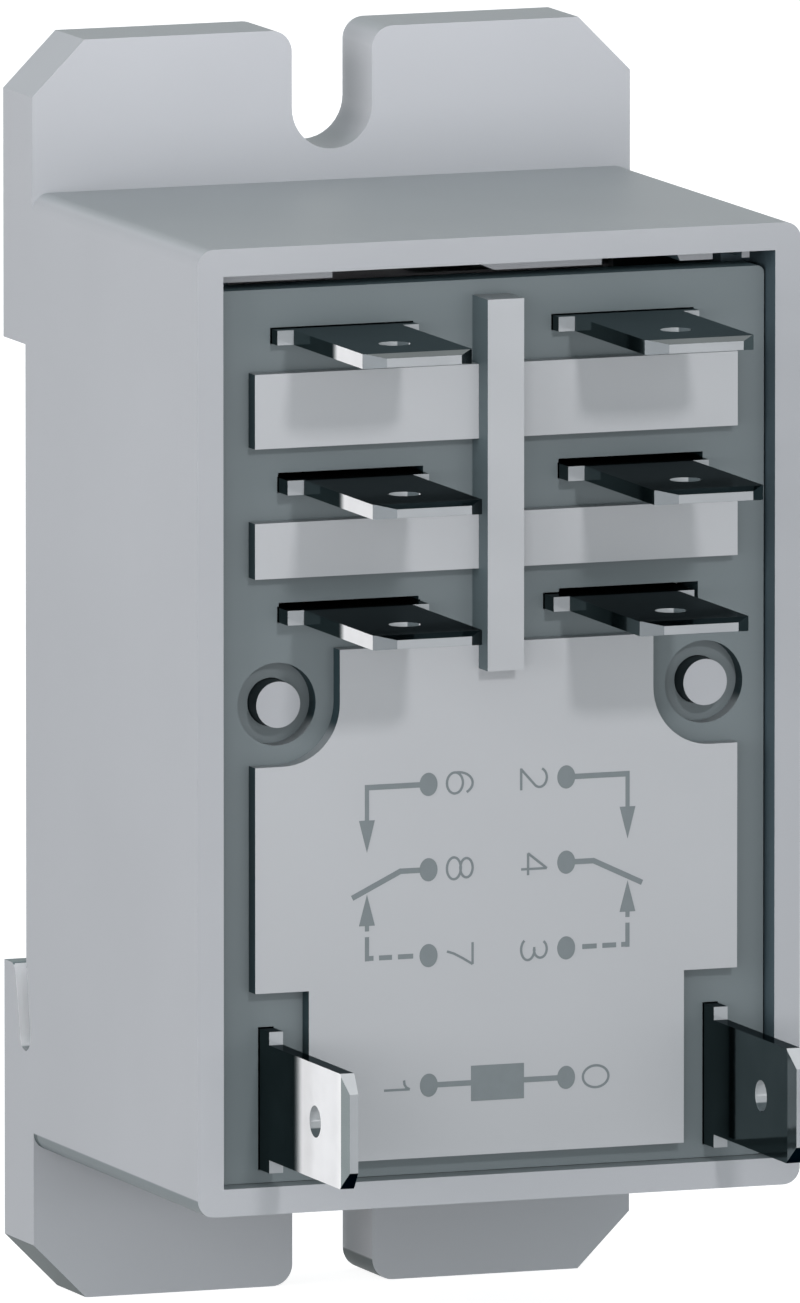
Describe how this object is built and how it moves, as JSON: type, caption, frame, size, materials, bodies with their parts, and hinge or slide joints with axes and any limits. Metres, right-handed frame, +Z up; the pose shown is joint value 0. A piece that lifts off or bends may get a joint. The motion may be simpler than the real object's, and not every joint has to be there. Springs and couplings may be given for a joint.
{
  "type": "plug-in power relay",
  "caption": "Upright power relay with a notched panel flange and rail channel, flat quick-connect tabs on its front and a clapper magnet with sprung contact arms inside.",
  "frame": {"origin": "Centre of the flange's back face, midway between the two fixing notches, in the plane that meets the panel.", "axes": "X to the right as seen from the terminals, Y back into the panel, Z up along the flange."},
  "size_m": [0.035, 0.0427, 0.0696],
  "materials": {
    "cover_plastic": "satin",
    "base_plastic": "satin",
    "carrier_plastic": "matte",
    "bobbin_plastic": "matte",
    "enamelled_copper": "gloss",
    "magnet_iron": "satin",
    "spring_steel": "polished",
    "rivet_steel": "polished",
    "tinned_brass": "satin",
    "copper_alloy": "satin",
    "silver_alloy": "polished",
    "copper_braid": "satin"
  },
  "bodies": {
    "housing": {"cover": "cover_plastic", "terminal_base": "base_plastic", "yoke": "magnet_iron", "core": "magnet_iron", "bobbin": "bobbin_plastic", "coil_winding": "enamelled_copper", "hinge_spring": "spring_steel", "yoke_rivets": "rivet_steel", "terminal_no_left": "tinned_brass", "terminal_com_left": "tinned_brass", "terminal_nc_left": "tinned_brass", "coil_terminal_left": "tinned_brass", "coil_lead_left": "enamelled_copper", "no_contact_left": "silver_alloy", "nc_contact_left": "silver_alloy", "braid_left": "copper_braid", "terminal_no_right": "tinned_brass", "terminal_com_right": "tinned_brass", "terminal_nc_right": "tinned_brass", "coil_terminal_right": "tinned_brass", "coil_lead_right": "enamelled_copper", "no_contact_right": "silver_alloy", "nc_contact_right": "silver_alloy", "braid_right": "copper_braid"},
    "armature_group": {"armature": "magnet_iron", "contact_carrier": "carrier_plastic", "armature_rivet": "rivet_steel", "contact_arm_left": "copper_alloy", "arm_rivet_left": "rivet_steel", "moving_contact_left": "silver_alloy", "contact_arm_right": "copper_alloy", "arm_rivet_right": "rivet_steel", "moving_contact_right": "silver_alloy"}
  },
  "joints": [
    {"name": "armature_pivot", "type": "hinge", "parent": "housing", "child": "armature_group", "pos_m": [0, -0.0072, 0.00002], "axis": [1, 0, 0], "range_deg": [0, 5], "stiffness_Nm_per_rad": 0.03, "springref_deg": -11.46, "deforming": ["hinge_spring", "braid_left", "braid_right"]}
  ]
}
